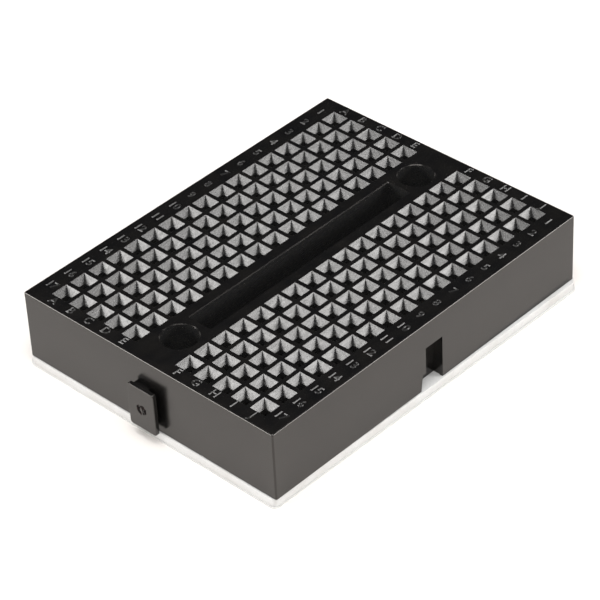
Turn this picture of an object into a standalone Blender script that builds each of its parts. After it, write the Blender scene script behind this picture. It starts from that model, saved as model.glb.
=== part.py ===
"""A solderless breadboard: a moulded housing, its spring contacts, a foam pad and a release liner.

Units are metres. +X runs across the board from column A to column J, +Y runs along it towards row 1 and
+Z is up. The origin is under the middle of the housing, on the underside of the release liner.
"""

import math

import bmesh
import bpy
from mathutils import Matrix, Vector

MM = 0.001

# Tie points: two banks of columns on the standard pitch.
PITCH = 2.54 * MM
ROWS = 17
BANK_COLUMNS = 5
BANK_GAP = 7.62 * MM  # between the centres of the two inner columns

# One tie point: a square funnel, and the square hole under it.
FUNNEL_WIDTH = 2.05 * MM
FUNNEL_DEPTH = 0.75 * MM
PIN_HOLE = 0.84 * MM

# Housing walls.
HOUSING_HEIGHT = 8.3 * MM
DECK = 1.5 * MM  # top deck over the contact cells
EDGE_RADIUS = 0.2 * MM
EDGE_SEGMENTS = 2
CELL_WIDTH = 1.95 * MM
CELL_REACH = 1.12 * MM  # centre of an end tie point to the end of its cell
SIDE_BACKING = 1.11 * MM  # between the end of a cell and the back of the slot in a side wall
END_BACKING = 0.405 * MM  # between the last cell and the back of the slot in an end wall

# Ravine and screw holes on the centre line.
RAVINE_WIDTH = 3.0 * MM
RAVINE_FLOOR = 1.6 * MM
RAVINE_END_WALL = 0.85 * MM  # between the ravine and a screw recess
SCREW_INSET = 5.1 * MM  # end wall to screw centre
SCREW_HEAD = 4.0 * MM
SCREW_HOLE = 2.2 * MM
SCREW_SEAT = 3.0 * MM  # plastic left under the screw head
ROUND_STEPS = 24

# Hooks that join boards, and the slots that take a neighbour's hook.
HOOK_WIDTH = 3.7 * MM
HOOK_PLATE = 0.45 * MM
HOOK_REACH = 1.0 * MM  # wall to the outer face of the plate
HOOK_NECK = 2.3 * MM
HOOK_EDGE = 1.7 * MM  # middle of the wall to the flush side of the hook
HOOK_DROP = 2.9 * MM  # deck surface to the top of the plate
HOOK_LIFT = 0.2 * MM  # underside of the housing to the bottom of the plate
HOOK_CORNER = 0.25 * MM
LINK_CLEARANCE = 0.1 * MM
SLOT_END_CLEARANCE = 0.3 * MM  # tip of a hook to the back of the slot
MOUTH_WIDTH = 3.45 * MM
MOUTH_HEIGHT = 2.0 * MM

# Contacts: a strip of spring metal folded to a channel and slit into pairs of fingers.
CLIP_CLEARANCE = 0.3 * MM
CLIP_METAL = 0.22 * MM
CLIP_PINCH = 0.12 * MM  # between the two fingers of a pair at their closest
CLIP_MOUTH = 0.8 * MM  # between the tips of a pair
CLIP_FLARE = 1.0 * MM  # height of the flared tips
FINGER_SLIT = 0.5 * MM
FINGER_ROOT = 0.8 * MM  # height of the channel that is not slit

# Foam pad and release liner.
FOAM_THICKNESS = 0.8 * MM
FOAM_INSET = 0.1 * MM
LINER_THICKNESS = 0.12 * MM
LINER_MARGIN = 0.3 * MM
PAD_CORNER = 1.5 * MM
PAD_CORNER_STEPS = 5
LAYER_GAP = 0.1 * MM

OVERCUT = 0.2 * MM  # how far a cutter runs past the face that it opens

# Sizes that follow from those above.
SLOT_DEPTH = HOOK_REACH + SLOT_END_CLEARANCE
BANK_SPAN = (BANK_COLUMNS - 1) * PITCH
BANK_CENTRE = (BANK_GAP + BANK_SPAN) / 2
CELL_LENGTH = BANK_SPAN + 2 * CELL_REACH
HOUSING_WIDTH = 2 * (BANK_CENTRE + CELL_LENGTH / 2 + SIDE_BACKING + SLOT_DEPTH)
HOUSING_LENGTH = (ROWS - 1) * PITCH + CELL_WIDTH + 2 * (END_BACKING + SLOT_DEPTH)
FOAM_BOTTOM = LINER_THICKNESS + LAYER_GAP
HOUSING_BOTTOM = FOAM_BOTTOM + FOAM_THICKNESS + LAYER_GAP
HOUSING_TOP = HOUSING_BOTTOM + HOUSING_HEIGHT
DECK_UNDERSIDE = HOUSING_TOP - DECK
SCREW_Y = HOUSING_LENGTH / 2 - SCREW_INSET
RAVINE_LENGTH = 2 * (SCREW_Y - SCREW_HEAD / 2 - RAVINE_END_WALL)
SLOT_TOP = HOUSING_TOP - HOOK_DROP + LINK_CLEARANCE
LIP = HOOK_REACH - HOOK_PLATE - LINK_CLEARANCE

# Looks: base colour, roughness and metallic value.
ABS_LOOK = ((0.012, 0.012, 0.012, 1), 0.25, 0)
SPRING_LOOK = ((0.62, 0.60, 0.55, 1), 0.3, 1)
FOAM_LOOK = ((0.86, 0.86, 0.83, 1), 0.9, 0)
LINER_LOOK = ((0.88, 0.88, 0.85, 1), 0.5, 0)


def clear_scene():
    for obj in list(bpy.data.objects):
        bpy.data.objects.remove(obj, do_unlink=True)


def new_collection(name):
    collection = bpy.data.collections.new(name)
    bpy.context.scene.collection.children.link(collection)
    return collection


def new_material(name, look):
    colour, roughness, metallic = look
    material = bpy.data.materials.new(name)
    material.use_nodes = True
    shader = material.node_tree.nodes["Principled BSDF"]
    shader.inputs["Base Color"].default_value = colour
    shader.inputs["Roughness"].default_value = roughness
    shader.inputs["Metallic"].default_value = metallic
    material.diffuse_color = colour
    return material


def mesh_from(name, bm):
    mesh = bpy.data.meshes.new(name)
    bm.to_mesh(mesh)
    bm.free()
    return mesh


def place(name, mesh, collection, material=None, location=(0, 0, 0)):
    obj = bpy.data.objects.new(name, mesh)
    obj.location = location
    if material and not mesh.materials:
        mesh.materials.append(material)
    collection.objects.link(obj)
    return obj


def add_box(bm, low, high):
    """Adds a box between two corners to a bmesh and returns its vertices."""
    low = Vector(low)
    size = Vector(high) - low
    centre = Matrix.Translation(low + size / 2)
    return bmesh.ops.create_cube(bm, size=1, matrix=centre @ Matrix.Diagonal((*size, 1)))["verts"]


def tie_points():
    """Yields the x and y of every tie point."""
    for row in range(ROWS):
        for bank in (-1, 1):
            for column in range(BANK_COLUMNS):
                x = bank * BANK_CENTRE + (column - (BANK_COLUMNS - 1) / 2) * PITCH
                yield x, row_y(row)


def row_y(row):
    """The y of a row, counted from 0 at the +Y end."""
    return ((ROWS - 1) / 2 - row) * PITCH


def make_cutter(name, bm, cutters):
    cutter = place(name, mesh_from(name, bm), cutters)
    cutter.hide_render = True
    cutter.display_type = "WIRE"
    return cutter


def use_boolean(target, tool, operation):
    boolean = target.modifiers.new(tool.name, "BOOLEAN")
    boolean.object = tool
    boolean.operation = operation
    boolean.solver = "EXACT"


def cell_cutter(cutters):
    """One open-bottomed cell for each contact."""
    bm = bmesh.new()
    for row in range(ROWS):
        for bank in (-1, 1):
            x = bank * BANK_CENTRE
            y = row_y(row)
            low = (x - CELL_LENGTH / 2, y - CELL_WIDTH / 2, HOUSING_BOTTOM - OVERCUT)
            high = (x + CELL_LENGTH / 2, y + CELL_WIDTH / 2, DECK_UNDERSIDE)
            add_box(bm, low, high)
    return make_cutter("cut_cells", bm, cutters)


def tie_point_cutter(cutters):
    """A square pin hole from each cell, widening to a funnel that runs on past the deck along its slope."""
    slope = (FUNNEL_WIDTH - PIN_HOLE) / FUNNEL_DEPTH
    widening = (FUNNEL_WIDTH + slope * OVERCUT / 2) / PIN_HOLE
    half = PIN_HOLE / 2
    shoulder = HOUSING_TOP - FUNNEL_DEPTH
    bm = bmesh.new()
    for x, y in tie_points():
        low = (x - half, y - half, DECK_UNDERSIDE - OVERCUT)
        shaft = add_box(bm, low, (x + half, y + half, shoulder))
        rim = [vertex for vertex in shaft if vertex.co.z > shoulder - half]
        shoulder_face = next(face for face in rim[0].link_faces if set(face.verts) == set(rim))
        mouth = bmesh.ops.extrude_discrete_faces(bm, faces=[shoulder_face])["faces"][0]
        bmesh.ops.translate(bm, verts=mouth.verts, vec=(0, 0, FUNNEL_DEPTH + OVERCUT / 2))
        about = Matrix.Translation((-x, -y, 0))
        bmesh.ops.scale(bm, verts=mouth.verts, vec=(widening, widening, 1), space=about)
    return make_cutter("cut_tie_points", bm, cutters)


def ravine_cutter(cutters):
    bm = bmesh.new()
    low = (-RAVINE_WIDTH / 2, -RAVINE_LENGTH / 2, HOUSING_BOTTOM + RAVINE_FLOOR)
    add_box(bm, low, (RAVINE_WIDTH / 2, RAVINE_LENGTH / 2, HOUSING_TOP + OVERCUT))
    return make_cutter("cut_ravine", bm, cutters)


def screw_cutter(name, diameter, bottom, cutters):
    """A pair of upright cylinders on the screw centres, from a height to above the deck."""
    bm = bmesh.new()
    depth = HOUSING_TOP + OVERCUT - bottom
    for y in (-SCREW_Y, SCREW_Y):
        bmesh.ops.create_cone(
            bm,
            cap_ends=True,
            segments=ROUND_STEPS,
            radius1=diameter / 2,
            radius2=diameter / 2,
            depth=depth,
            matrix=Matrix.Translation((0, y, bottom + depth / 2)),
        )
    return make_cutter(name, bm, cutters)


def wall_frame(side_wall):
    """A wall's frame: local x points out of the slot side, and local y runs along the wall."""
    return Matrix.Identity(4) if side_wall else Matrix.Rotation(math.pi / 2, 4, "Z")


def slot_cutters(name, side_wall, cutters):
    """The pocket with the opening in its lip, and the wider mouth under the lip, for one wall."""
    wall = (HOUSING_WIDTH if side_wall else HOUSING_LENGTH) / 2
    right = HOOK_EDGE + LINK_CLEARANCE
    pocket_left = HOOK_EDGE - HOOK_WIDTH - LINK_CLEARANCE
    opening_left = right - HOOK_NECK - 2 * LINK_CLEARANCE
    mouth_left = right - MOUTH_WIDTH
    bottom = HOUSING_BOTTOM - OVERCUT
    back = wall - SLOT_DEPTH
    outside = wall + OVERCUT
    plan = [
        (back, right),
        (back, pocket_left),
        (wall - LIP, pocket_left),
        (wall - LIP, opening_left),
        (outside, opening_left),
        (outside, right),
    ]
    to_wall = wall_frame(side_wall)
    height = SLOT_TOP - bottom
    lifted = to_wall @ Matrix.Translation((0, 0, bottom + height / 2))
    yield make_cutter(f"cut_{name}_slot", outline_solid(plan, height, lifted), cutters)
    bm = bmesh.new()
    low = ((back + wall - LIP) / 2, mouth_left, bottom - OVERCUT)
    high = (outside + OVERCUT, (opening_left + right) / 2, HOUSING_BOTTOM + MOUTH_HEIGHT)
    add_box(bm, low, high)
    bm.transform(to_wall)
    yield make_cutter(f"cut_{name}_mouth", bm, cutters)


def hook_body(name, side_wall, cutters):
    """A neck and a wider plate that stands off the wall on it, joined into the housing."""
    wall = (HOUSING_WIDTH if side_wall else HOUSING_LENGTH) / 2
    bottom = HOUSING_BOTTOM + HOOK_LIFT
    top = HOUSING_TOP - HOOK_DROP
    outer = -wall - HOOK_REACH
    inner = outer + HOOK_PLATE
    plate_left = HOOK_EDGE - HOOK_WIDTH
    neck_left = HOOK_EDGE - HOOK_NECK
    plate_bm = bmesh.new()
    add_box(plate_bm, (outer, plate_left, bottom), (inner, HOOK_EDGE, top))
    across = []
    for edge in plate_bm.edges:
        start, end = edge.verts
        if abs(start.co.x - end.co.x) > HOOK_PLATE / 2:
            across.append(edge)
    bmesh.ops.bevel(plate_bm, geom=across, offset=HOOK_CORNER, segments=EDGE_SEGMENTS, affect="EDGES")
    plate_bm.transform(wall_frame(side_wall))
    neck_bm = bmesh.new()
    neck_low = (outer + HOOK_PLATE / 2, neck_left, bottom + HOOK_CORNER)
    add_box(neck_bm, neck_low, (-wall + EDGE_RADIUS, HOOK_EDGE - HOOK_CORNER, top - HOOK_CORNER))
    neck_bm.transform(wall_frame(side_wall))
    yield make_cutter(f"join_{name}_neck", neck_bm, cutters)
    yield make_cutter(f"join_{name}_plate", plate_bm, cutters)


def make_housing(parts, cutters, material):
    bm = bmesh.new()
    half_x = HOUSING_WIDTH / 2
    half_y = HOUSING_LENGTH / 2
    add_box(bm, (-half_x, -half_y, HOUSING_BOTTOM), (half_x, half_y, HOUSING_TOP))
    middle = (HOUSING_BOTTOM + HOUSING_TOP) / 2
    rounded = [edge for edge in bm.edges if any(vertex.co.z > middle for vertex in edge.verts)]
    bmesh.ops.bevel(bm, geom=rounded, offset=EDGE_RADIUS, segments=EDGE_SEGMENTS, affect="EDGES")
    housing = place("housing", mesh_from("housing", bm), parts, material)
    for name, side_wall in (("side", True), ("end", False)):
        for join in hook_body(name, side_wall, cutters):
            use_boolean(housing, join, "UNION")
    use_boolean(housing, cell_cutter(cutters), "DIFFERENCE")
    use_boolean(housing, tie_point_cutter(cutters), "DIFFERENCE")
    use_boolean(housing, ravine_cutter(cutters), "DIFFERENCE")
    seat = HOUSING_BOTTOM + SCREW_SEAT
    use_boolean(housing, screw_cutter("cut_screw_heads", SCREW_HEAD, seat, cutters), "DIFFERENCE")
    under = HOUSING_BOTTOM - OVERCUT
    use_boolean(housing, screw_cutter("cut_screw_holes", SCREW_HOLE, under, cutters), "DIFFERENCE")
    for name, side_wall in (("side", True), ("end", False)):
        for cutter in slot_cutters(name, side_wall, cutters):
            use_boolean(housing, cutter, "DIFFERENCE")
    return housing


def outline_solid(points, thickness, matrix):
    """A bmesh of a closed flat outline in local x and y, thickened evenly both ways."""
    curve = bpy.data.curves.new("outline", "CURVE")
    curve.dimensions = "2D"
    curve.fill_mode = "BOTH"
    curve.extrude = thickness / 2
    spline = curve.splines.new("POLY")
    spline.points.add(len(points) - 1)
    for point, (x, y) in zip(spline.points, points):
        point.co = (x, y, 0, 1)
    spline.use_cyclic_u = True
    drawn = bpy.data.objects.new("outline", curve)
    bpy.context.scene.collection.objects.link(drawn)
    graph = bpy.context.evaluated_depsgraph_get()
    filled = bpy.data.meshes.new_from_object(drawn.evaluated_get(graph))
    bpy.data.objects.remove(drawn, do_unlink=True)
    bm = bmesh.new()
    bm.from_mesh(filled)
    bpy.data.meshes.remove(filled)
    bmesh.ops.remove_doubles(bm, verts=bm.verts, dist=1e-6)
    bm.transform(matrix)
    bmesh.ops.recalc_face_normals(bm, faces=bm.faces)
    return bm


def clip_outline(width, height):
    """The folded strip seen from its end: a flat base, and two arms that pinch and then flare."""
    base = width / 2
    pinch = CLIP_PINCH / 2
    mouth = CLIP_MOUTH / 2
    waist = height - CLIP_FLARE
    inner = [(base - CLIP_METAL, CLIP_METAL), (pinch, waist), (mouth, height)]
    outer = [(mouth + CLIP_METAL, height), (pinch + CLIP_METAL, waist), (base, 0)]
    right = inner + outer
    left = [(-x, z) for x, z in reversed(right)]
    return right + left


def make_clips(parts, cutters, material):
    """One contact for each row of each bank. They all share one mesh, whose origin is under its middle."""
    length = CELL_LENGTH - 2 * CLIP_CLEARANCE
    width = CELL_WIDTH - 2 * CLIP_CLEARANCE
    height = DECK_UNDERSIDE - HOUSING_BOTTOM - 2 * CLIP_CLEARANCE
    upright = Matrix(((0, 0, 1, 0), (1, 0, 0, 0), (0, 1, 0, 0), (0, 0, 0, 1)))
    strip = outline_solid(clip_outline(width, height), length, upright)
    folded = place("folded_strip", mesh_from("folded_strip", strip), cutters)
    bm = bmesh.new()
    for slit in range(1, BANK_COLUMNS):
        x = (slit - BANK_COLUMNS / 2) * PITCH
        low = (x - FINGER_SLIT / 2, -width, FINGER_ROOT)
        add_box(bm, low, (x + FINGER_SLIT / 2, width, height + OVERCUT))
    slits = make_cutter("cut_finger_slits", bm, cutters)
    use_boolean(folded, slits, "DIFFERENCE")
    graph = bpy.context.evaluated_depsgraph_get()
    clip = bpy.data.meshes.new_from_object(folded.evaluated_get(graph))
    clip.name = "clip"
    bpy.data.objects.remove(folded, do_unlink=True)
    bpy.data.objects.remove(slits, do_unlink=True)
    for bank, letters in ((-1, "ae"), (1, "fj")):
        for row in range(ROWS):
            location = (bank * BANK_CENTRE, row_y(row), HOUSING_BOTTOM + CLIP_CLEARANCE)
            place(f"clip_{letters}_{row + 1:02d}", clip, parts, material, location)


def rounded_rectangle(width, length, radius):
    """A rectangle about the origin with an arc at each corner."""
    points = []
    for corner, (side, end) in enumerate(((1, 1), (-1, 1), (-1, -1), (1, -1))):
        for step in range(PAD_CORNER_STEPS + 1):
            angle = (corner + step / PAD_CORNER_STEPS) * math.pi / 2
            x = side * (width / 2 - radius) + radius * math.cos(angle)
            y = end * (length / 2 - radius) + radius * math.sin(angle)
            points.append((x, y))
    return points


def make_sheet(name, spread, bottom, thickness, parts, material):
    """A flat sheet with round corners, larger than the housing's outline by spread on every side."""
    outline = rounded_rectangle(HOUSING_WIDTH + 2 * spread, HOUSING_LENGTH + 2 * spread, PAD_CORNER)
    lifted = Matrix.Translation((0, 0, bottom + thickness / 2))
    return place(name, mesh_from(name, outline_solid(outline, thickness, lifted)), parts, material)


def main():
    clear_scene()
    parts = new_collection("solderless_breadboard")
    cutters = new_collection("cutters")
    make_housing(parts, cutters, new_material("black_abs", ABS_LOOK))
    make_clips(parts, cutters, new_material("spring_metal", SPRING_LOOK))
    foam = new_material("white_foam", FOAM_LOOK)
    make_sheet("foam_pad", -FOAM_INSET, FOAM_BOTTOM, FOAM_THICKNESS, parts, foam)
    liner = new_material("liner_paper", LINER_LOOK)
    make_sheet("release_liner", LINER_MARGIN, 0, LINER_THICKNESS, parts, liner)


main()
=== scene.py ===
"""Looks of a solderless breadboard with 170 tie points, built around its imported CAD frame.

Units are metres. +X runs across the board from column A to column J, +Y runs along it towards row 1 and
+Z is up. Every piece sits at the origin with its place in its mesh, as the CAD nodes do.
"""

import logging
import math
from collections.abc import Callable, Iterator
from dataclasses import dataclass, field
from enum import Enum

import bmesh
import bpy
from mathutils import Matrix, Vector, noise


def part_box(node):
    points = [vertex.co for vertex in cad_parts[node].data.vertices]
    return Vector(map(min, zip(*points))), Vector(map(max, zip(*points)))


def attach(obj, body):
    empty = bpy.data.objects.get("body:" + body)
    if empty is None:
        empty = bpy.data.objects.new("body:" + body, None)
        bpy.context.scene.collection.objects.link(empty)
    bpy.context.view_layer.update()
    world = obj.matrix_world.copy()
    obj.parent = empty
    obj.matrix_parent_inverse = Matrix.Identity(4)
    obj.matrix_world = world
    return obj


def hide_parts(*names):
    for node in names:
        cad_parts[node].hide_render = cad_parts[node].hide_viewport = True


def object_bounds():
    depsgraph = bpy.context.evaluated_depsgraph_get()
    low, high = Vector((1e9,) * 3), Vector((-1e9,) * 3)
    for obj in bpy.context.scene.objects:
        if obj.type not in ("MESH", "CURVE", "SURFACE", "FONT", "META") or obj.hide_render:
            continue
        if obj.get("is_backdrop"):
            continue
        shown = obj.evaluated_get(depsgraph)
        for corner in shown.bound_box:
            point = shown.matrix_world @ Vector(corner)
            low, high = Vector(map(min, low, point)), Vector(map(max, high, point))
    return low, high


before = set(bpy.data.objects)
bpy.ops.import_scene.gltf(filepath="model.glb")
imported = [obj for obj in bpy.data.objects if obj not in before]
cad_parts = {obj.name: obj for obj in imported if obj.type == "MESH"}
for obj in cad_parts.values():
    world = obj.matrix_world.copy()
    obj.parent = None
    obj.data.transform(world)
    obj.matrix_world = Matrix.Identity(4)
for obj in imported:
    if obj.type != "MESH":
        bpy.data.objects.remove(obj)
cad_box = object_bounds()

LOG = logging.getLogger("breadboard")
MM = 0.001
CLOSE = 0.001 * MM  # points nearer than this lie in one plane


class Joining(Enum):
    """How one solid is combined with another."""

    CUT = "DIFFERENCE"
    JOIN = "UNION"


class Axis(Enum):
    """A level axis that walls and grid lines cross."""

    X = 0
    Y = 1


def linear(colour: str) -> tuple[float, float, float, float]:
    """Turns an sRGB hex colour to linear light.

    Args:
        colour: Six hex digits after a hash sign.

    Returns:
        Red, green, blue and an alpha of 1.
    """
    channels = []
    for start in (1, 3, 5):
        value = int(colour[start : start + 2], 16) / 255
        channels.append(value / 12.92 if value <= 0.04045 else ((value + 0.055) / 1.055) ** 2.4)
    return (*channels, 1.0)


def add_node(
    tree: bpy.types.NodeTree,
    kind: str,
    inputs: dict[str | int, object] | None = None,
    **settings: object,
) -> bpy.types.Node:
    """Adds a node to a tree, with its settings and links.

    Args:
        tree: Tree that takes the node.
        kind: The node's type name.
        inputs: Value of each input socket, or the output socket that feeds it.
        settings: Value of each of the node's own properties.

    Returns:
        The new node.
    """
    node = tree.nodes.new(kind)
    for name, value in settings.items():
        setattr(node, name, value)
    for name, value in (inputs or {}).items():
        if isinstance(value, bpy.types.NodeSocket):
            tree.links.new(value, node.inputs[name])
        else:
            node.inputs[name].default_value = value
    return node


def add_ramp(
    tree: bpy.types.NodeTree, factor: bpy.types.NodeSocket, stops: list[tuple[float, tuple[float, ...]]]
) -> bpy.types.NodeSocket:
    """Adds a colour ramp between two stops.

    Args:
        tree: Tree that takes the node.
        factor: Socket that drives the ramp.
        stops: Position and colour of each stop, in order.

    Returns:
        The ramp's colour socket.
    """
    node = add_node(tree, "ShaderNodeValToRGB", {"Fac": factor})
    for element, (position, colour) in zip(node.color_ramp.elements, stops):
        element.position = position
        element.color = colour
    return node.outputs["Color"]


def per_mm(size: float) -> float:
    """The texture scale at which a pattern repeats at about a size in millimetres."""
    return 1 / (size * MM)


@dataclass
class Finish:
    """A material that is being built, with its shader and the coordinates that its patterns read."""

    material: bpy.types.Material
    tree: bpy.types.NodeTree
    shader: bpy.types.Node
    place: bpy.types.NodeSocket

    def drawn_out(
        self, stretch: tuple[float, float, float], turn: tuple[float, float, float] = (0.0, 0.0, 0.0)
    ) -> bpy.types.NodeSocket:
        """Coordinates in which a pattern is drawn out in one direction.

        Args:
            stretch: Scale of the coordinates along each axis, small where the pattern is long.
            turn: Their rotation.

        Returns:
            The coordinates' socket.
        """
        settings = {"Vector": self.place, "Rotation": turn, "Scale": stretch}
        return add_node(self.tree, "ShaderNodeMapping", settings).outputs["Vector"]

    def clouds(
        self, size_mm: float, detail: float, weight: float = 0.5, place: bpy.types.NodeSocket | None = None
    ) -> bpy.types.NodeSocket:
        """A cloudy pattern.

        Args:
            size_mm: About how far apart its patches are.
            detail: How many finer layers it has.
            weight: How strong the finer layers are.
            place: Coordinates that it reads, if not the finish's own.

        Returns:
            The pattern's socket.
        """
        settings = {
            "Vector": self.place if place is None else place,
            "Scale": per_mm(size_mm),
            "Detail": detail,
            "Roughness": weight,
        }
        return add_node(self.tree, "ShaderNodeTexNoise", settings).outputs["Fac"]

    def tint(
        self, pattern: bpy.types.NodeSocket, first: tuple[float, str], last: tuple[float, str]
    ) -> None:
        """Colours the surface by a pattern.

        Args:
            pattern: Socket of the pattern.
            first: Level up to which the surface has the first colour, and that colour.
            last: Level from which it has the last colour, and that colour.
        """
        tone = add_ramp(self.tree, pattern, [(level, linear(colour)) for level, colour in (first, last)])
        self.tree.links.new(tone, self.shader.inputs["Base Color"])

    def vary_roughness(
        self,
        pattern: bpy.types.NodeSocket,
        roughness: tuple[float, float],
        levels: tuple[float, float] = (0.0, 1.0),
    ) -> None:
        """Varies the surface's roughness by a pattern.

        Args:
            pattern: Socket of the pattern.
            roughness: Lowest and highest roughness.
            levels: Levels of the pattern that get them.
        """
        settings = {
            "Value": pattern,
            "From Min": levels[0],
            "From Max": levels[1],
            "To Min": roughness[0],
            "To Max": roughness[1],
        }
        spread = add_node(self.tree, "ShaderNodeMapRange", settings)
        self.tree.links.new(spread.outputs["Result"], self.shader.inputs["Roughness"])

    def emboss(self, pattern: bpy.types.NodeSocket, strength: float, depth_mm: float) -> None:
        """Raises the surface by a pattern, over the relief that it already has.

        Args:
            pattern: Socket of the pattern.
            strength: How much of the relief shows.
            depth_mm: Its height.
        """
        settings = {"Height": pattern, "Strength": strength, "Distance": depth_mm * MM}
        bump = add_node(self.tree, "ShaderNodeBump", settings)
        normal = self.shader.inputs["Normal"]
        if normal.is_linked:
            self.tree.links.new(normal.links[0].from_socket, bump.inputs["Normal"])
        self.tree.links.new(bump.outputs["Normal"], normal)


def start_finish(name: str) -> Finish:
    """Starts a node material whose patterns are fixed to the object.

    Args:
        name: Name of the material.

    Returns:
        The material and the nodes that every finish starts from.
    """
    material = bpy.data.materials.new(name)
    material.use_nodes = True
    tree = material.node_tree
    place = add_node(tree, "ShaderNodeTexCoord").outputs["Object"]
    return Finish(material, tree, tree.nodes["Principled BSDF"], place)


@dataclass(frozen=True)
class MouldedAbs:
    """Black ABS, injection moulded: faint ripples, flow and handling marks over the tool's own texture.

    The outside comes from a polished tool, so it mirrors its surroundings softly.
    """

    name: str = "moulded_black_abs"
    resin: str = "#0B0B0C"
    bloom: str = "#131211"
    reflection: str = "#FFF8F2"
    roughness: tuple[float, float] = (0.17, 0.27)
    ior: float = 1.57
    ripple_mm: float = 2.4
    grain_mm: float = 0.11
    grain_depth_mm: float = 0.004
    ripple_depth_mm: float = 0.01
    scuff_mm: float = 1.6
    scuff_turn: tuple[float, float, float] = (0.3, 0.5, 0.6)
    scuff_stretch: tuple[float, float, float] = (1.0, 0.22, 1.0)

    def material(self) -> bpy.types.Material:
        """Builds the plastic's material.

        Returns:
            The material.
        """
        finish = start_finish(self.name)
        finish.shader.inputs["IOR"].default_value = self.ior
        finish.shader.inputs["Specular Tint"].default_value = linear(self.reflection)
        ripples = finish.clouds(self.ripple_mm, 4.0, 0.55)
        finish.tint(ripples, (0.35, self.resin), (0.75, self.bloom))
        # Handling leaves longer, softer marks than the tool's own texture does.
        along = finish.drawn_out(self.scuff_stretch, self.scuff_turn)
        scuffs = finish.clouds(self.scuff_mm, 6.0, 0.7, along)
        finish.vary_roughness(scuffs, self.roughness, (0.35, 0.7))
        finish.emboss(finish.clouds(self.grain_mm, 2.0), 0.12, self.grain_depth_mm)
        finish.emboss(ripples, 0.25, self.ripple_depth_mm)
        return finish.material


# The funnels and the recesses come from spark-eroded inserts, which leave them matte and grained; their
# greyer resin and bloom colours are painted fill light that brightens these hollows.
ERODED_ABS_PAINTED_FILL = MouldedAbs(
    name="eroded_black_abs_painted_fill",
    resin="#222223",
    bloom="#2B2A28",
    reflection="#FFFDFB",
    roughness=(0.2, 0.33),
    ripple_mm=0.5,
    grain_mm=0.16,
    grain_depth_mm=0.05,
    scuff_mm=0.35,
)

# The marks were engraved in the tool and not polished after, so their edges catch light from more sides.
RAISED_MARK_ABS = MouldedAbs(name="raised_mark_black_abs", roughness=(0.3, 0.4), reflection="#FFFDFB")


@dataclass(frozen=True)
class TornSprue:
    """Black ABS where the moulding was twisted off its gate: the same resin, torn, duller and browner."""

    name: str = "torn_sprue_abs"
    resin: str = "#060505"
    stress: str = "#2A1A19"
    tear_mm: float = 0.22
    tear_depth_mm: float = 0.1
    roughness: float = 0.55
    reflectance: float = 0.08

    def material(self) -> bpy.types.Material:
        """Builds the torn surface's material.

        Returns:
            The material.
        """
        finish = start_finish(self.name)
        tears = finish.clouds(self.tear_mm, 5.0)
        finish.tint(tears, (0.45, self.resin), (0.72, self.stress))
        finish.shader.inputs["Roughness"].default_value = self.roughness
        finish.shader.inputs["Specular IOR Level"].default_value = self.reflectance
        finish.emboss(tears, 0.9, self.tear_depth_mm)
        return finish.material


@dataclass(frozen=True)
class FoamTape:
    """White closed-cell polyethylene foam, die cut: matte, a little warm, with cut cells along its edge
    whose pits carry painted shade.
    """

    name: str = "white_closed_cell_foam"
    clean: str = "#D0D0CF"
    aged: str = "#C7C5C2"
    # Colour of the middle of each cut cell: painted shade in its pit.
    cell: str = "#ABA8A4"
    cell_mm: float = 0.16
    cell_depth_mm: float = 0.03
    patch_mm: float = 3.5
    roughness: float = 0.85
    sheen: float = 0.1

    def material(self) -> bpy.types.Material:
        """Builds the foam's material.

        Returns:
            The material.
        """
        finish = start_finish(self.name)
        tree, shader = finish.tree, finish.shader
        stops = [(0.38, linear(self.clean)), (0.78, linear(self.aged))]
        tone = add_ramp(tree, finish.clouds(self.patch_mm, 5.0), stops)
        grid = {"Vector": finish.place, "Scale": per_mm(self.cell_mm)}
        cells = add_node(tree, "ShaderNodeTexVoronoi", grid).outputs["Distance"]
        # Darkens each cell towards its middle, where the bump sinks it: painted shade in the pits.
        pit_shade = add_node(
            tree, "ShaderNodeMapRange", {"Value": cells, "From Max": 0.42, "To Min": 0.55, "To Max": 0.0}
        )
        tone_with_pit_shade = add_node(
            tree,
            "ShaderNodeMix",
            {"Factor": pit_shade.outputs["Result"], 6: tone, 7: linear(self.cell)},
            data_type="RGBA",
        )
        tree.links.new(tone_with_pit_shade.outputs[2], shader.inputs["Base Color"])
        shader.inputs["Roughness"].default_value = self.roughness
        shader.inputs["Sheen Weight"].default_value = self.sheen
        finish.emboss(cells, 0.5, self.cell_depth_mm)
        return finish.material


@dataclass(frozen=True)
class LinerPaper:
    """Bleached kraft paper with a silicone coat: smooth and off-white, with a soft satin reflection."""

    name: str = "siliconised_liner_paper"
    sheet: str = "#CACAC8"
    fibre: str = "#BEBDBA"
    fibre_mm: float = 0.5
    fibre_depth_mm: float = 0.01
    fibre_draw: tuple[float, float, float] = (0.3, 1.0, 1.0)
    roughness: float = 0.38

    def material(self) -> bpy.types.Material:
        """Builds the paper's material.

        Returns:
            The material.
        """
        finish = start_finish(self.name)
        fibres = finish.clouds(self.fibre_mm, 6.0, 0.65, finish.drawn_out(self.fibre_draw))
        finish.tint(fibres, (0.4, self.sheet), (0.75, self.fibre))
        finish.shader.inputs["Roughness"].default_value = self.roughness
        finish.emboss(fibres, 0.2, self.fibre_depth_mm)
        return finish.material


@dataclass(frozen=True)
class NickelPlatedBronze:
    """Phosphor bronze strip, rolled, stamped and nickel plated: bright, with fine rolling lines."""

    name: str = "nickel_plated_spring_bronze"
    plate: str = "#C9C3B6"
    worn: str = "#A9946C"
    line_mm: float = 0.08
    line_draw: tuple[float, float, float] = (0.04, 1.0, 1.0)
    roughness: tuple[float, float] = (0.22, 0.42)

    def material(self) -> bpy.types.Material:
        """Builds the metal's material.

        Returns:
            The material.
        """
        finish = start_finish(self.name)
        lines = finish.clouds(self.line_mm, 3.0, place=finish.drawn_out(self.line_draw))
        finish.tint(lines, (0.4, self.plate), (0.85, self.worn))
        finish.shader.inputs["Metallic"].default_value = 1.0
        finish.vary_roughness(lines, self.roughness)
        return finish.material


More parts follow.
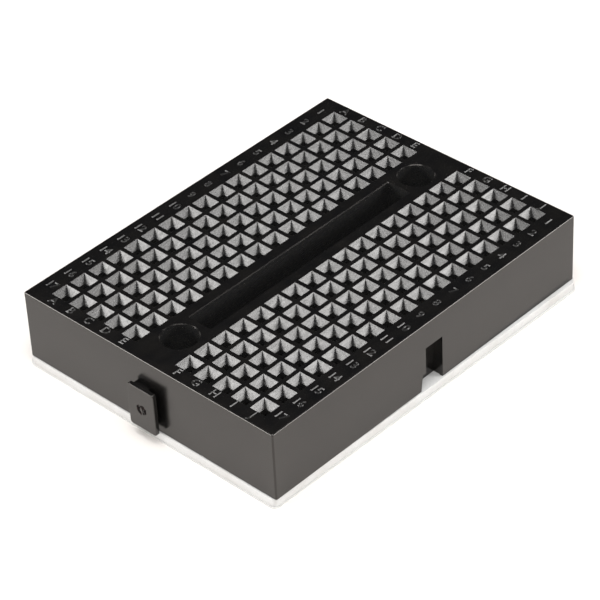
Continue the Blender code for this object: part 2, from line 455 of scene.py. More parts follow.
def solid_from(name: str, bm: bmesh.types.BMesh) -> bpy.types.Object:
    """Turns a bmesh into an object at the origin, and frees it.

    Args:
        name: Name of the object and its mesh.
        bm: The shape.

    Returns:
        The object, linked to the scene.
    """
    mesh = bpy.data.meshes.new(name)
    bm.to_mesh(mesh)
    bm.free()
    piece = bpy.data.objects.new(name, mesh)
    bpy.context.scene.collection.objects.link(piece)
    return piece


def add_block(
    bm: bmesh.types.BMesh, low: tuple[float, float, float], high: tuple[float, float, float]
) -> list[bmesh.types.BMVert]:
    """Adds a box between two corners.

    Args:
        bm: Shape that takes the box.
        low: Its lowest corner.
        high: Its highest corner.

    Returns:
        The box's vertices.
    """
    size = Vector(high) - Vector(low)
    middle = Matrix.Translation(Vector(low) + size / 2)
    return bmesh.ops.create_cube(bm, size=1, matrix=middle @ Matrix.Diagonal((*size, 1)))["verts"]


def upright_edges(bm: bmesh.types.BMesh, rise: float) -> list[bmesh.types.BMEdge]:
    """The edges whose ends differ in height by more than a rise."""
    return [edge for edge in bm.edges if abs(edge.verts[0].co.z - edge.verts[1].co.z) > rise]


def with_borders(
    faces: list[bmesh.types.BMFace],
) -> list[bmesh.types.BMVert | bmesh.types.BMEdge | bmesh.types.BMFace]:
    """Faces with the vertices and edges around them, each once and always in the same order."""
    verts = dict.fromkeys(vert for face in faces for vert in face.verts)
    edges = dict.fromkeys(edge for face in faces for edge in face.edges)
    return [*verts, *edges, *faces]


def round_edges(
    bm: bmesh.types.BMesh, edges: list[bmesh.types.BMEdge], radius: float, segments: int
) -> None:
    """Rounds a set of edges.

    Args:
        bm: Shape that holds the edges.
        edges: Edges to round.
        radius: Width that the rounding takes from each face.
        segments: Faces across the rounding.
    """
    bmesh.ops.bevel(
        bm,
        geom=edges,
        offset=radius,
        offset_type="OFFSET",
        segments=segments,
        profile=0.5,
        affect="EDGES",
        material=-1,
        clamp_overlap=True,
    )


def combine(target: bpy.types.Object, tool: bpy.types.Object, joining: Joining) -> None:
    """Cuts one solid from another or joins it to it, and removes the tool.

    Args:
        target: Solid that is changed.
        tool: Solid that cuts or joins it.
        joining: Which of the two.
    """
    boolean = target.modifiers.new("combine", "BOOLEAN")
    boolean.operation = joining.value
    boolean.solver = "EXACT"
    boolean.object = tool
    graph = bpy.context.evaluated_depsgraph_get()
    result = bpy.data.meshes.new_from_object(target.evaluated_get(graph))
    target.modifiers.clear()
    before = target.data
    target.data = result
    result.name = target.name
    bpy.data.meshes.remove(before)
    bpy.data.meshes.remove(tool.data)


def reshape(piece: bpy.types.Object, change: Callable[[bmesh.types.BMesh], None]) -> None:
    """Applies a change to a piece's mesh through a bmesh.

    Args:
        piece: Piece that is changed.
        change: Function that edits the bmesh.
    """
    bm = bmesh.new()
    bm.from_mesh(piece.data)
    change(bm)
    bm.to_mesh(piece.data)
    bm.free()


def shade(piece: bpy.types.Object, angle: float, weighted: bool = True) -> None:
    """Shades a piece smooth up to an angle, and keeps its large flat faces flat.

    Args:
        piece: Piece that is shaded.
        angle: Largest angle, in degrees, across which the shading is smooth.
        weighted: Whether large faces decide the normals at their edges.
    """
    piece.data.shade_smooth()
    piece.data.set_sharp_from_angle(angle=math.radians(angle))
    if weighted:
        flatten = piece.modifiers.new("flat_faces_stay_flat", "WEIGHTED_NORMAL")
        flatten.weight = 100
        flatten.keep_sharp = True


def dress(piece: bpy.types.Object, material: bpy.types.Material) -> None:
    """Gives a piece one material on every face."""
    piece.data.materials.clear()
    piece.data.materials.append(material)


@dataclass
class Housing:
    """The moulded housing, with tie points, ravine and screw holes in its deck and hooks on its walls."""

    pitch: float = 2.54 * MM
    rows: int = 17
    bank_columns: int = 5
    bank_centre: float = 8.89 * MM
    funnel_mouth: float = 2.05 * MM
    funnel_depth: float = 0.75 * MM
    pin_hole: float = 0.84 * MM
    funnel_lip: float = 0.03 * MM
    deck: float = 1.5 * MM
    cell_width: float = 1.95 * MM
    cell_length: float = 12.4 * MM
    top_radius: float = 0.2 * MM
    corner_radius: float = 0.2 * MM
    foot_radius: float = 0.08 * MM
    ravine_width: float = 3.0 * MM
    ravine_length: float = 30.1 * MM
    ravine_floor: float = 1.6 * MM
    ravine_corner: float = 0.12 * MM
    screw_inset: float = 5.1 * MM
    screw_head: float = 4.0 * MM
    screw_hole: float = 2.2 * MM
    screw_seat: float = 3.0 * MM
    rim_radius: float = 0.09 * MM
    rim_reach: float = 2.3 * MM  # from the middle line past the widest of the broken rims
    rim_angle: float = 1.0
    hook_width: float = 3.7 * MM
    hook_plate: float = 0.45 * MM
    hook_reach: float = 1.0 * MM
    hook_neck: float = 2.3 * MM
    hook_edge: float = 1.7 * MM
    hook_drop: float = 2.9 * MM
    hook_lift: float = 0.2 * MM
    hook_corner: float = 0.3 * MM
    hook_rounding: float = 0.08 * MM
    slot_depth: float = 1.3 * MM
    slot_clearance: float = 0.1 * MM
    slot_opening: tuple[float, float] = (-0.82 * MM, 1.74 * MM)
    slot_shoulder: float = 0.3 * MM
    slot_mouth: float = 3.45 * MM
    slot_mouth_height: float = 2.0 * MM
    slot_mouth_slant: float = 0.35 * MM
    slot_mouth_step: float = 0.01 * MM
    chip_place: tuple[float, float, float] = (7.4 * MM, -0.12 * MM, -0.1 * MM)
    chip_size: tuple[float, float, float] = (0.5 * MM, 0.25 * MM, 0.28 * MM)
    overcut: float = 0.2 * MM
    half: tuple[float, float] = field(init=False)
    bottom: float = field(init=False)
    top: float = field(init=False)

    def __post_init__(self) -> None:
        """Takes the walls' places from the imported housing, whose +X and +Y walls have no hooks."""
        low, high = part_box("housing")
        self.half = (high.x, high.y)
        self.bottom = low.z
        self.top = high.z

    def row_y(self, row: int) -> float:
        """The y of a row, counted from 0 at the +Y end."""
        return ((self.rows - 1) / 2 - row) * self.pitch

    def column_x(self, column: int) -> float:
        """The x of a column, counted from 0 for A to 9 for J."""
        bank, place = divmod(column, self.bank_columns)
        side = 2 * bank - 1
        return side * self.bank_centre + (place - (self.bank_columns - 1) / 2) * self.pitch

    def blank(self) -> bmesh.types.BMesh:
        """The outer block with its edges rounded.

        Returns:
            The block.
        """
        half_x, half_y = self.half
        bm = bmesh.new()
        add_block(bm, (-half_x, -half_y, self.bottom), (half_x, half_y, self.top))
        round_edges(bm, upright_edges(bm, MM), self.corner_radius, 4)
        for level, radius, segments in ((self.top, self.top_radius, 4), (self.bottom, self.foot_radius, 2)):
            rim = [edge for edge in bm.edges if all(abs(vert.co.z - level) < CLOSE for vert in edge.verts)]
            round_edges(bm, rim, radius, segments)
        return bm

    def deck_faces(
        self, bm: bmesh.types.BMesh, low: tuple[float, float], high: tuple[float, float]
    ) -> list[bmesh.types.BMFace]:
        """The faces of the deck whose middles lie in a rectangle.

        Args:
            bm: The housing's shape.
            low: Lowest x and y.
            high: Highest x and y.

        Returns:
            The faces.
        """
        found = []
        for face in bm.faces:
            middle = face.calc_center_bounds()
            flat = face.normal.z > 0.999 and abs(middle.z - self.top) < CLOSE
            if flat and low[0] < middle.x < high[0] and low[1] < middle.y < high[1]:
                found.append(face)
        return found

    def score(
        self,
        bm: bmesh.types.BMesh,
        low: tuple[float, float],
        high: tuple[float, float],
        axis: Axis,
        place: float,
    ) -> None:
        """Cuts the deck's faces in a rectangle along a line.

        Args:
            bm: The housing's shape.
            low: Lowest x and y of the rectangle.
            high: Highest x and y of the rectangle.
            axis: Axis that the line crosses.
            place: Where the line crosses it.
        """
        found = with_borders(self.deck_faces(bm, low, high))
        across = Vector((axis is Axis.X, axis is Axis.Y, 0))
        bmesh.ops.bisect_plane(bm, geom=found, dist=CLOSE / 10, plane_co=across * place, plane_no=across)

    def tile_banks(self, bm: bmesh.types.BMesh) -> list[bmesh.types.BMFace]:
        """Divides the deck over each bank into one tile for each tie point.

        Args:
            bm: The housing's shape.

        Returns:
            The tiles.
        """
        everywhere = ((-self.half[0], -self.half[1]), self.half)
        reach = self.bank_columns * self.pitch / 2
        end = self.rows * self.pitch / 2
        for bank in (-self.bank_centre, self.bank_centre):
            for side in (-reach, reach):
                self.score(bm, *everywhere, Axis.X, bank + side)
        tiles = []
        for bank in (-self.bank_centre, self.bank_centre):
            strip = ((bank - reach, -self.half[1]), (bank + reach, self.half[1]))
            for side in (-end, end):
                self.score(bm, *strip, Axis.Y, side)
            area = ((bank - reach, -end), (bank + reach, end))
            for line in range(1, self.bank_columns):
                self.score(bm, *area, Axis.X, bank - reach + line * self.pitch)
            for line in range(1, self.rows):
                self.score(bm, *area, Axis.Y, -end + line * self.pitch)
            tiles += self.deck_faces(bm, *area)
        return tiles

    def sink_tie_points(self, bm: bmesh.types.BMesh) -> None:
        """Sinks a funnel with a rounded lip and a pin hole into each tile.

        Args:
            bm: The housing's shape.
        """
        tiles = self.tile_banks(bm)
        rib = (self.pitch - self.funnel_mouth) / 2
        bmesh.ops.inset_individual(bm, faces=tiles, thickness=rib, depth=0, use_even_offset=True)
        lips = [edge for face in tiles for edge in face.edges]
        shaft = self.deck - self.funnel_depth + self.overcut / 2
        for drop, width in ((self.funnel_depth, self.pin_hole), (shaft, self.pin_hole)):
            before = tiles[0].calc_perimeter() / 4
            tiles = [
                item
                for item in bmesh.ops.extrude_discrete_faces(bm, faces=tiles)["faces"]
                if isinstance(item, bmesh.types.BMFace)
            ]
            for face in tiles:
                about = Matrix.Translation(-face.calc_center_median())
                bmesh.ops.scale(bm, verts=face.verts, vec=(width / before, width / before, 1), space=about)
                bmesh.ops.translate(bm, verts=face.verts, vec=(0, 0, -drop))
        round_edges(bm, lips, self.funnel_lip, 2)

    def cells(self) -> bpy.types.Object:
        """One open-bottomed cell for each contact."""
        bm = bmesh.new()
        for row in range(self.rows):
            for bank in (-self.bank_centre, self.bank_centre):
                y = self.row_y(row)
                low = (bank - self.cell_length / 2, y - self.cell_width / 2, self.bottom - self.overcut)
                high = (bank + self.cell_length / 2, y + self.cell_width / 2, self.top - self.deck)
                add_block(bm, low, high)
        return solid_from("cell_cutter", bm)

    def ravine(self) -> bpy.types.Object:
        """The long recess between the banks, with slightly rounded corners."""
        bm = bmesh.new()
        half_x, half_y = self.ravine_width / 2, self.ravine_length / 2
        low = (-half_x, -half_y, self.bottom + self.ravine_floor)
        add_block(bm, low, (half_x, half_y, self.top + self.overcut))
        round_edges(bm, upright_edges(bm, MM), self.ravine_corner, 2)
        return solid_from("ravine_cutter", bm)

    def bores(self, diameter: float, bottom: float, steps: int) -> bpy.types.Object:
        """A pair of upright cylinders on the screw centres.

        Args:
            diameter: Their diameter.
            bottom: Height of their lower ends.
            steps: Sides of each.

        Returns:
            The pair, as one cutter.
        """
        bm = bmesh.new()
        depth = self.top + self.overcut - bottom
        reach = self.half[1] - self.screw_inset
        for y in (-reach, reach):
            bmesh.ops.create_cone(
                bm,
                cap_ends=True,
                segments=steps,
                radius1=diameter / 2,
                radius2=diameter / 2,
                depth=depth,
                matrix=Matrix.Translation((0, y, bottom + depth / 2)),
            )
        return solid_from("bore_cutter", bm)

    def wall_turn(self, axis: Axis) -> Matrix:
        """The turn that brings shapes made on the X walls onto the walls that cross an axis."""
        return Matrix.Identity(4) if axis is Axis.X else Matrix.Rotation(math.pi / 2, 4, "Z")

    def hook(self, axis: Axis) -> Iterator[bpy.types.Object]:
        """The neck and the plate of the hook on one wall.

        Args:
            axis: Axis that the wall crosses.

        Yields:
            The neck, then the plate.
        """
        wall = self.half[axis.value]
        outer = -wall - self.hook_reach
        inner = outer + self.hook_plate
        bottom = self.bottom + self.hook_lift
        top = self.top - self.hook_drop
        corner = self.hook_corner
        neck = bmesh.new()
        neck_low = (outer + self.hook_plate / 2, self.hook_edge - self.hook_neck, bottom + corner)
        add_block(neck, neck_low, (-wall + self.overcut, self.hook_edge - corner, top - corner))
        neck.transform(self.wall_turn(axis))
        yield solid_from("hook_neck", neck)
        plate = bmesh.new()
        add_block(plate, (outer, self.hook_edge - self.hook_width, bottom), (inner, self.hook_edge, top))
        depth = self.hook_plate / 2
        across = [edge for edge in plate.edges if abs(edge.verts[0].co.x - edge.verts[1].co.x) > depth]
        round_edges(plate, across, corner, 3)
        face = [edge for edge in plate.edges if all(abs(vert.co.x - outer) < CLOSE for vert in edge.verts)]
        round_edges(plate, face, self.hook_rounding, 3)
        plate.transform(self.wall_turn(axis))
        yield solid_from("hook_plate", plate)

    def slot(self, axis: Axis) -> Iterator[bpy.types.Object]:
        """The cutters of the slot that takes a neighbour's hook, on one wall.

        Args:
            axis: Axis that the wall crosses.

        Yields:
            The pocket, the opening in its lip, and the wider mouth at its foot.
        """
        wall = self.half[axis.value]
        clear = self.slot_clearance
        right = self.hook_edge + clear
        pocket_left = self.hook_edge - self.hook_width - clear
        opening_left, opening_right = self.slot_opening
        lip = self.hook_reach - self.hook_plate - clear
        bottom = self.bottom - self.overcut
        top = self.top - self.hook_drop + clear
        back = wall - self.slot_depth
        outside = wall + self.overcut
        opening_top = top - self.slot_shoulder
        for low, high in (
            ((back, pocket_left, bottom), (wall - lip, right, top)),
            ((back + clear, opening_left, bottom - clear), (outside, opening_right, opening_top)),
        ):
            bm = bmesh.new()
            add_block(bm, low, high)
            bm.transform(self.wall_turn(axis))
            yield solid_from("slot_cutter", bm)
        bm = bmesh.new()
        mouth_low = (back + 2 * clear, right - self.slot_mouth, bottom - 2 * clear)
        mouth_right = opening_right - self.slot_mouth_step
        mouth_high = (outside + clear, mouth_right, self.bottom + self.slot_mouth_height)
        verts = add_block(bm, mouth_low, mouth_high)
        shoulder = [vert for vert in verts if vert.co.z > self.bottom and vert.co.y < 0]
        bmesh.ops.translate(bm, verts=shoulder, vec=(0, self.slot_mouth_slant, 0))
        bm.transform(self.wall_turn(axis))
        yield solid_from("mouth_cutter", bm)

    def chip(self) -> bpy.types.Object:
        """A small nick in the foot of the -Y wall."""
        bm = bmesh.new()
        x, y, z = self.chip_place
        spot = Matrix.Translation((x, y - self.half[1], z + self.bottom))
        squash = Matrix.Diagonal((*self.chip_size, 1))
        bmesh.ops.create_icosphere(bm, subdivisions=2, radius=1, matrix=spot @ squash)
        return solid_from("chip_cutter", bm)

    def rims(self, bm: bmesh.types.BMesh) -> None:
        """Breaks the rims of the ravine and the screw recesses.

        Args:
            bm: The housing's shape.
        """
        bmesh.ops.remove_doubles(bm, verts=bm.verts, dist=CLOSE / 10)
        sharp = [edge for edge in bm.edges if edge.is_manifold and edge.calc_face_angle(0) > self.rim_angle]
        chosen = []
        for edge in sharp:
            ends = [vert.co for vert in edge.verts]
            if all(abs(end.z - self.top) < CLOSE and abs(end.x) < self.rim_reach for end in ends):
                chosen.append(edge)
        round_edges(bm, chosen, self.rim_radius, 1)

    def erode_and_paint_fill(self, piece: bpy.types.Object) -> None:
        """Gives the funnels, the recesses and everything below them the grain of a spark-eroded insert, and
        a greyer colour that is painted fill light in these hollows.

        Args:
            piece: The housing, with its polished material on every face.
        """
        # The second material's greyer colour is painted fill light on every face below the deck; its grain
        # is the insert's own.
        piece.data.materials.append(ERODED_ABS_PAINTED_FILL.material())
        skin = self.slot_depth + self.overcut
        for face in piece.data.polygons:
            inside = all(abs(face.center[axis.value]) < self.half[axis.value] - skin for axis in Axis)
            if inside and face.center.z < self.top - self.rim_radius:
                face.material_index = 1

    def build(self) -> bpy.types.Object:
        """Builds the housing.

        Returns:
            The piece.
        """
        bm = self.blank()
        self.sink_tie_points(bm)
        piece = solid_from("moulded_housing", bm)
        for axis in Axis:
            for join in self.hook(axis):
                combine(piece, join, Joining.JOIN)
        combine(piece, self.cells(), Joining.CUT)
        combine(piece, self.ravine(), Joining.CUT)
        combine(piece, self.bores(self.screw_head, self.bottom + self.screw_seat, 64), Joining.CUT)
        combine(piece, self.bores(self.screw_hole, self.bottom - self.overcut, 40), Joining.CUT)
        for axis in Axis:
            for cutter in self.slot(axis):
                combine(piece, cutter, Joining.CUT)
        combine(piece, self.chip(), Joining.CUT)
        reshape(piece, self.rims)
        shade(piece, 38)
        dress(piece, MouldedAbs().material())
        self.erode_and_paint_fill(piece)
        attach(piece, "board")
        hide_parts("housing")
        return piece


@dataclass
class GateMark:
    """The scar on the hook of the -Y wall where the moulding was twisted off its gate."""

    radius: float = 0.74 * MM
    height: float = 0.16 * MM
    centre: tuple[float, float] = (0.1 * MM, -5.6 * MM)
    lean: float = 0.5
    crest_at: float = 0.6
    crest_spread: float = 0.32
    lobe: float = 0.38
    tear_floor: float = 0.8
    torn: float = 1.3
    tear: float = 0.24 * MM
    sunk: float = 0.03 * MM
    rim: float = 0.97
    rings: int = 9
    steps: int = 48

    def build(self, housing: Housing) -> bpy.types.Object:
        """Builds the scar.

        Args:
            housing: The housing that it is on.

        Returns:
            The piece.
        """
        face_y = -housing.half[1] - housing.hook_reach
        x, below_deck = self.centre
        bm = bmesh.new()
        bmesh.ops.create_circle(bm, cap_ends=True, segments=self.steps, radius=self.radius)
        for _ in range(1, self.rings):
            face = max(bm.faces, key=lambda item: len(item.verts))
            bmesh.ops.inset_region(
                bm,
                faces=[face],
                thickness=self.radius / (self.rings + 0.5),
                use_boundary=True,
                use_even_offset=True,
            )
        for vert in bm.verts:
            reach = vert.co.length / self.radius
            crest = math.exp(-(((reach - self.crest_at) / self.crest_spread) ** 2))
            around = math.atan2(vert.co.y, vert.co.x)
            lobes = 1 - self.lobe + self.lobe * math.cos(2 * around - self.lean)
            tear = self.tear_floor + self.torn * noise.noise(vert.co / self.tear)
            rise = self.height * crest * lobes * tear if reach < self.rim else 0
            vert.co.z = rise - self.sunk
        stand = Matrix.Rotation(math.pi / 2, 4, "X")
        bm.transform(Matrix.Translation((x, face_y, housing.top + below_deck)) @ stand)
        bmesh.ops.recalc_face_normals(bm, faces=bm.faces)
        if sum(face.normal.y for face in bm.faces) > 0:
            bmesh.ops.reverse_faces(bm, faces=bm.faces)
        piece = solid_from("gate_mark", bm)
        shade(piece, 60, weighted=False)
        dress(piece, TornSprue().material())
        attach(piece, "board")
        return piece


@dataclass
class DeckMarks:
    """The raised letters over the columns and the raised numbers beside the rows."""

    height: float = 1.0 * MM
    relief: float = 0.09 * MM
    chamfer: float = 0.065 * MM
    steepness: float = 1.25
    letter_y: float = 22.05 * MM
    number_x: float = 16.1 * MM
    cap_share: float = 0.73

    def glyphs(self, text: str, x: float, y: float, z: float) -> bpy.types.Object:
        """One label as a raised mesh.

        Args:
            text: What it reads.
            x: Middle of the label across the board.
            y: Middle of the label along the board.
            z: Height of the deck.

        Returns:
            The label, as a mesh object at the origin.
        """
        curve = bpy.data.curves.new("label", "FONT")
        curve.body = text
        curve.size = self.height / self.cap_share
        curve.align_x = "CENTER"
        curve.align_y = "CENTER"
        curve.resolution_u = 3
        curve.bevel_resolution = 0
        curve.bevel_depth = self.chamfer
        curve.extrude = self.relief - self.chamfer
        curve.offset = -self.chamfer / 2
        label = bpy.data.objects.new("label", curve)
        bpy.context.scene.collection.objects.link(label)
        graph = bpy.context.evaluated_depsgraph_get()
        mesh = bpy.data.meshes.new_from_object(label.evaluated_get(graph))
        bpy.data.objects.remove(label, do_unlink=True)
        mesh.transform(Matrix.Translation((x, y, z)) @ Matrix.Diagonal((1, 1, self.steepness, 1)))
        piece = bpy.data.objects.new("label", mesh)
        bpy.context.scene.collection.objects.link(piece)
        return piece

    def gather(
        self, name: str, labels: list[bpy.types.Object], finish: bpy.types.Material
    ) -> bpy.types.Object:
        """Joins labels into one piece.

        Args:
            name: Name of the piece.
            labels: Labels that are joined.
            finish: Their material.

        Returns:
            The piece.
        """
        bm = bmesh.new()
        for label in labels:
            bm.from_mesh(label.data)
            bpy.data.meshes.remove(label.data)
        bmesh.ops.remove_doubles(bm, verts=bm.verts, dist=CLOSE / 10)
        bmesh.ops.recalc_face_normals(bm, faces=bm.faces)
        piece = solid_from(name, bm)
        shade(piece, 25, weighted=False)
        dress(piece, finish)
        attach(piece, "board")
        return piece

    def build(self, housing: Housing) -> list[bpy.types.Object]:
        """Builds the letters and the numbers.

        Args:
            housing: The housing that they stand on.

        Returns:
            The two pieces.
        """
        finish = RAISED_MARK_ABS.material()
        letters, numbers = [], []
        for column, letter in enumerate("ABCDEFGHIJ"):
            for y in (-self.letter_y, self.letter_y):
                letters.append(self.glyphs(letter, housing.column_x(column), y, housing.top))
        for row in range(housing.rows):
            for x in (-self.number_x, self.number_x):
                numbers.append(self.glyphs(str(row + 1), x, housing.row_y(row), housing.top))
        return [
            self.gather("column_letters", letters, finish),
            self.gather("row_numbers", numbers, finish),
        ]


@dataclass
class Contacts:
    """The spring contacts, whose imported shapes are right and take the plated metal."""

    prefix: str = "clip_"

    def build(self) -> list[bpy.types.Object]:
        """Dresses the contacts.

        Returns:
            The contacts.
        """
        metal = NickelPlatedBronze().material()
        dressed = []
        for name, node in sorted(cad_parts.items()):
            if name.startswith(self.prefix):
                node.data.materials.clear()
                node.data.materials.append(metal)
                dressed.append(node)
        return dressed


@dataclass
class BackingSheet:
    """A die-cut sheet under the housing, a little skewed, with round corners and a slightly uneven edge."""

    width: float
    length: float
    bottom: float
    thickness: float
    shift: tuple[float, float]
    turn: float
    skew: float = 0.013
    corner: float = 1.3 * MM
    tight_corner: float = 0.5 * MM
    step: float = 0.3 * MM
    rings: int = 3
    belly: float = 0.04 * MM
    ragged: float = 0.03 * MM
    grain: float = 0.45 * MM

    def outline_edges(self, bm: bmesh.types.BMesh) -> dict[int, list[bmesh.types.BMEdge]]:
        """Groups the long edges that run round the sheet by the cuts that each needs."""
        groups: dict[int, list[bmesh.types.BMEdge]] = {}
        for edge in bm.edges:
            start, end = (vert.co for vert in edge.verts)
            length = edge.calc_length()
            if abs(start.z - end.z) < self.thickness / 100 and length > 3 * self.step:
                groups.setdefault(int(length / self.step), []).append(edge)
        return groups

    def build(self, name: str) -> bpy.types.Object:
        """Builds the sheet.

        Args:
            name: Name of the piece.

        Returns:
            The piece, without its material.
        """
        bm = bmesh.new()
        low = (-self.width / 2, -self.length / 2, self.bottom)
        high = (self.width / 2, self.length / 2, self.bottom + self.thickness)
        add_block(bm, low, high)
        for edge in upright_edges(bm, self.thickness / 2):
            tight = edge.verts[0].co.x > 0 > edge.verts[0].co.y
            round_edges(bm, [edge], self.tight_corner if tight else self.corner, 8)
        sides = [face for face in bm.faces if abs(face.normal.z) < 0.5]
        for ring in range(1, self.rings + 1):
            level = self.bottom + self.thickness * ring / (self.rings + 1)
            bmesh.ops.bisect_plane(
                bm, geom=with_borders(sides), dist=CLOSE / 100, plane_co=(0, 0, level), plane_no=(0, 0, 1)
            )
            sides = [face for face in bm.faces if abs(face.normal.z) < 0.5]
        for cuts, edges in self.outline_edges(bm).items():
            bmesh.ops.subdivide_edges(bm, edges=edges, cuts=cuts, use_grid_fill=True)
        bm.normal_update()
        middle = self.bottom + self.thickness / 2
        moves = {}
        for vert in bm.verts:
            outward = Vector((vert.co.x / self.width, vert.co.y / self.length, 0))
            side = Vector((vert.normal.x, vert.normal.y, 0))
            outward = side.normalized() if side.length > 0.1 else outward.normalized()
            share = 1 - ((vert.co.z - middle) / (self.thickness / 2)) ** 2
            swell = self.belly * share + self.ragged * noise.noise(vert.co / self.grain)
            moves[vert] = outward * swell
        for vert, move in moves.items():
            vert.co += move
        slant = Matrix.Identity(4)
        slant[0][1] = self.skew
        turn = Matrix.Rotation(math.radians(self.turn), 4, "Z")
        bm.transform(Matrix.Translation((*self.shift, 0)) @ turn @ slant)
        bmesh.ops.recalc_face_normals(bm, faces=bm.faces)
        piece = solid_from(name, bm)
        shade(piece, 50)
        return piece


@dataclass
class Backing:
    """The foam pad and the release liner under it."""

    foam_size: tuple[float, float] = (35.4 * MM, 46.4 * MM)
    liner_size: tuple[float, float] = (35.65 * MM, 46.6 * MM)
    shift: tuple[float, float] = (-0.05 * MM, 0.1 * MM)
    film: float = 0.008 * MM

    def build(self) -> list[bpy.types.Object]:
        """Builds the two sheets.

        Returns:
            The foam pad and the release liner.
        """
        housing_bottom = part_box("housing")[0].z
        liner_low, liner_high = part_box("release_liner")
        foam_bottom = liner_high.z + self.film
        foam = BackingSheet(
            width=self.foam_size[0],
            length=self.foam_size[1],
            bottom=foam_bottom,
            thickness=housing_bottom - self.film - foam_bottom,
            shift=self.shift,
            turn=0.0,
        ).build("foam_tape_pad")
        dress(foam, FoamTape().material())
        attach(foam, "board")
        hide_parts("foam_pad")
        liner = BackingSheet(
            width=self.liner_size[0],
            length=self.liner_size[1],
            bottom=liner_low.z,
            thickness=liner_high.z - liner_low.z,
            shift=self.shift,
            turn=-0.1,
            rings=1,
            belly=0.01 * MM,
            ragged=0.015 * MM,
            grain=2.0 * MM,
        ).build("release_liner_paper")
        dress(liner, LinerPaper().material())
        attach(liner, "liner")
        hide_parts("release_liner")
        return [foam, liner]


@dataclass(frozen=True)
class SoftBox:
    """A large panel light that looks at the board."""

    name: str
    azimuth: float
    elevation: float
    distance: float
    width: float
    height: float
    radiance: float

    def build(self, target: Vector) -> bpy.types.Object:
        """Places the light.

        Args:
            target: Point that it faces.

        Returns:
            The light.
        """
        light = bpy.data.lights.new(self.name, "AREA")
        light.shape = "RECTANGLE"
        light.size = self.width
        light.size_y = self.height
        light.energy = self.radiance * self.width * self.height * math.pi
        lamp = bpy.data.objects.new(self.name, light)
        azimuth, elevation = math.radians(self.azimuth), math.radians(self.elevation)
        flat = math.cos(elevation)
        away = Vector((flat * math.cos(azimuth), flat * math.sin(azimuth), math.sin(elevation)))
        lamp.location = target + away * self.distance
        lamp.rotation_euler = away.to_track_quat("Z", "Y").to_euler()
        lamp.visible_camera = False
        bpy.context.scene.collection.objects.link(lamp)
        return lamp


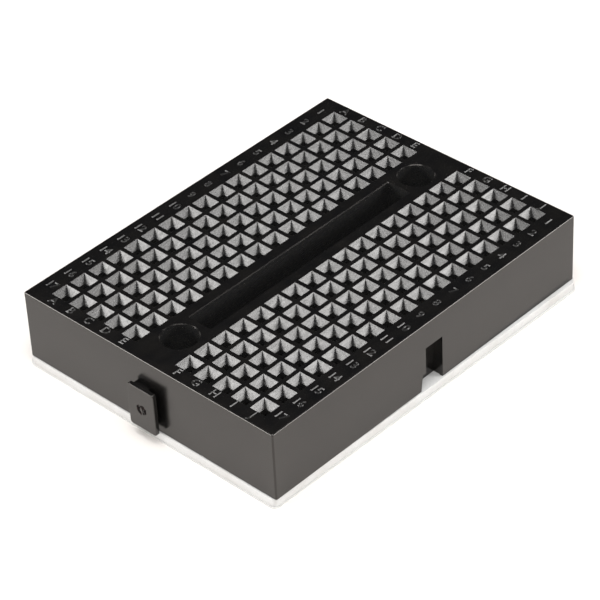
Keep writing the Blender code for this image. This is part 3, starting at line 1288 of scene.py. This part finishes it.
@dataclass
class Studio:
    """A pale sweep, soft boxes at both sides, in front and overhead, and the camera."""

    floor_colour: str = "#DFDBD7"
    flat_radius: float = 0.5
    sweep_height: float = 0.2
    sweep_steps: int = 8
    tooth_mm: float = 1.2
    tooth_shade: float = 0.985
    sky: float = 0.015
    eye: tuple[float, float, float] = (0.16091, -0.16248, 0.18101)
    forward: tuple[float, float, float] = (-0.5568, 0.5599, -0.6136)
    upward: tuple[float, float, float] = (-0.3934, 0.4729, 0.7885)
    lens: float = 166.2
    boxes: tuple[SoftBox, ...] = (
        SoftBox("right_box", 38, 19, 0.9, 0.34, 0.3, 13.6),
        SoftBox("left_box", 232, 19, 0.9, 0.34, 0.3, 13.6),
        SoftBox("front_box", -45, 36, 1.0, 0.5, 0.36, 3.0),
        SoftBox("overhead_box", -45, 82, 0.9, 0.8, 0.8, 6.7),
    )

    def sweep(self) -> bpy.types.Object:
        """Builds the floor, a disc whose rim curves up.

        Returns:
            The floor.
        """
        bm = bmesh.new()
        bmesh.ops.create_circle(bm, cap_ends=True, segments=96, radius=self.flat_radius)
        face = bm.faces[:][0]
        steps = self.sweep_steps
        for step in range(steps):
            ring = bmesh.ops.extrude_edge_only(bm, edges=[edge for edge in bm.edges if edge.is_boundary])
            verts = [item for item in ring["geom"] if isinstance(item, bmesh.types.BMVert)]
            rise = self.sweep_height * (((step + 1) / steps) ** 2 - (step / steps) ** 2)
            grow = 1 + 1 / (steps + step)
            bmesh.ops.scale(bm, verts=verts, vec=(grow, grow, 1))
            bmesh.ops.translate(bm, verts=verts, vec=(0, 0, rise))
        bmesh.ops.recalc_face_normals(bm, faces=bm.faces)
        if face.normal.z < 0:
            bmesh.ops.reverse_faces(bm, faces=bm.faces)
        floor = solid_from("sweep", bm)
        floor.data.shade_smooth()
        paper = start_finish("matte_paper_sweep")
        tooth = paper.clouds(self.tooth_mm, 4.0)
        light = linear(self.floor_colour)
        dark = (*(channel * self.tooth_shade for channel in light[:3]), 1.0)
        tone = add_ramp(paper.tree, tooth, [(0.3, light), (0.7, dark)])
        paper.tree.links.new(tone, paper.shader.inputs["Base Color"])
        paper.shader.inputs["Roughness"].default_value = 0.95
        paper.shader.inputs["Specular IOR Level"].default_value = 0.1
        dress(floor, paper.material)
        floor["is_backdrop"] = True
        return floor

    def world(self) -> None:
        """Fills the room with a dim, even light."""
        world = bpy.data.worlds.new("room")
        world.use_nodes = True
        background = world.node_tree.nodes["Background"]
        background.inputs["Color"].default_value = linear("#FFFFFF")
        background.inputs["Strength"].default_value = self.sky
        bpy.context.scene.world = world

    def camera(self) -> bpy.types.Object:
        """Places the camera.

        Returns:
            The camera.
        """
        ahead = Vector(self.forward).normalized()
        right = ahead.cross(Vector(self.upward)).normalized()
        up = right.cross(ahead)
        turn = Matrix((right, up, -ahead)).transposed().to_4x4()
        lens = bpy.data.cameras.new("camera")
        lens.lens = self.lens
        lens.sensor_width = 36
        lens.clip_start = 0.01
        lens.clip_end = 20
        camera = bpy.data.objects.new("camera", lens)
        camera.matrix_world = Matrix.Translation(self.eye) @ turn
        bpy.context.scene.collection.objects.link(camera)
        bpy.context.scene.camera = camera
        return camera

    def build(self) -> None:
        """Sets up the floor, the lights, the camera and the view's tone."""
        self.sweep()
        self.world()
        self.camera()
        for box in self.boxes:
            box.build(Vector((0, 0, 0)))
        view = bpy.context.scene.view_settings
        view.view_transform = "Standard"
        view.look = "None"


def save_sizes() -> None:
    """Lists the corners of the CAD model's box and of the visual model's box, and keeps neither."""
    for name, box in (("cad", cad_box), ("visual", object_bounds())):
        [list(corner) for corner in box]


def main() -> None:
    """Builds the studio and every piece in order, and reports each."""
    logging.basicConfig(level=logging.INFO, format="%(name)s: %(message)s")
    Studio().build()
    housing = Housing()
    pieces = [housing.build(), GateMark().build(housing)]
    pieces += DeckMarks().build(housing)
    pieces += Contacts().build()
    pieces += Backing().build()
    for piece in pieces:
        LOG.info("%s: %d faces", piece.name, len(piece.data.polygons))
    save_sizes()


if __name__ == "__main__":
    main()
